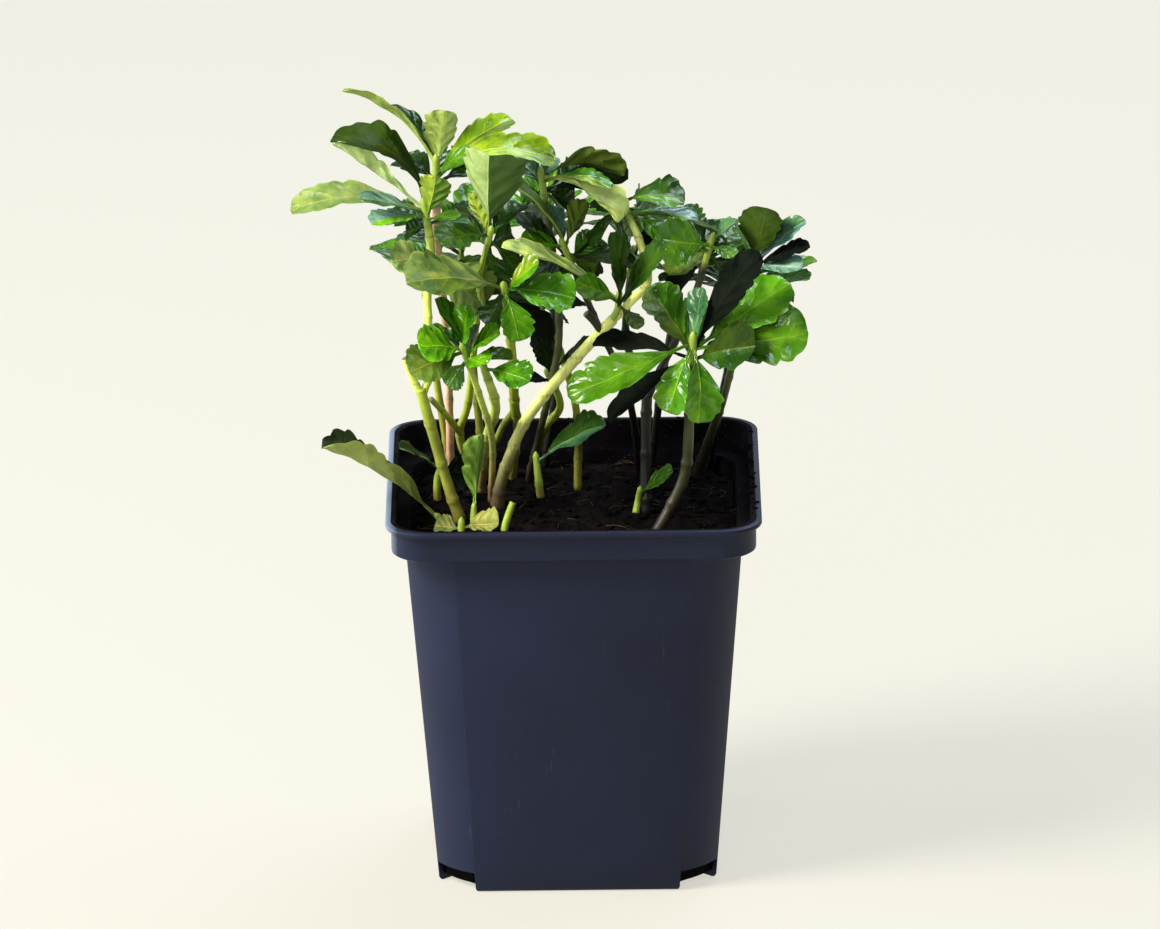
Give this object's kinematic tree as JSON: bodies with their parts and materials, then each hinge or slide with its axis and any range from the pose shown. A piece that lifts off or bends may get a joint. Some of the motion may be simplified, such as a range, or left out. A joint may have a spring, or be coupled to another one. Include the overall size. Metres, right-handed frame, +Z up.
{
  "type": "potted japanese pachysandra",
  "caption": "Young Japanese pachysandra with glossy toothed leaves in whorls on bare stems, in a square dark blue-grey plastic nursery pot filled with peat.",
  "frame": {"origin": "middle of the pot's flat underside, on the surface it stands on", "axes": "+Z up; +X to the viewer's right in the picture; +Y away from the viewer"},
  "size_m": [0.1269, 0.0989, 0.1944],
  "materials": {
    "pot": "matte dark blue-grey moulded plastic with fine scuffs",
    "soil": "dark fibrous peat",
    "stem": "smooth green to tan stem",
    "leaf": "glossy green leaf with pale midrib"
  },
  "bodies": {
    "root": {"bough_cross_left": "stem", "bough_diagonal": "stem", "bough_left_front": "stem", "bough_middle_side": "stem", "bough_right_back": "stem", "bough_right_front": "stem", "leaf_low_right": "leaf", "leaf_old": "leaf", "leaf_upright": "leaf", "leaves_back_far_left": "leaf", "leaves_back_far_right": "leaf", "leaves_back_inner": "leaf", "leaves_back_left": "leaf", "leaves_back_middle": "leaf", "leaves_back_right": "leaf", "leaves_dry": "leaf", "leaves_far_left": "leaf", "leaves_far_right": "leaf", "leaves_fork": "leaf", "leaves_front_low": "leaf", "leaves_front_middle": "leaf", "leaves_front_right": "leaf", "leaves_front_small": "leaf", "leaves_inner": "leaf", "leaves_inner_left": "leaf", "leaves_left_low": "leaf", "leaves_left_middle": "leaf", "leaves_low_left": "leaf", "leaves_middle_low": "leaf", "leaves_right_high": "leaf", "leaves_top_left": "leaf", "leaves_top_middle": "leaf", "leaves_top_right": "leaf", "pot": "pot", "seedling": "leaf", "soil": "soil", "stem_back_far_left": "stem", "stem_back_far_right": "stem", "stem_back_left": "stem", "stem_back_middle": "stem", "stem_back_right": "stem", "stem_diagonal": "stem", "stem_far_right": "stem", "stem_inner_left": "stem", "stem_left_back": "stem", "stem_left_front": "stem", "stem_left_middle": "stem", "stem_middle": "stem", "stem_right_fork": "stem", "stem_right_front": "stem", "stem_short_middle": "stem", "stem_slim_front": "stem", "stem_slim_middle": "stem", "stem_slim_right": "stem", "stem_yellow_front": "stem", "stub_cut_front": "stem", "stub_diagonal": "stem", "stub_left_front": "stem"}
  },
  "joints": []
}
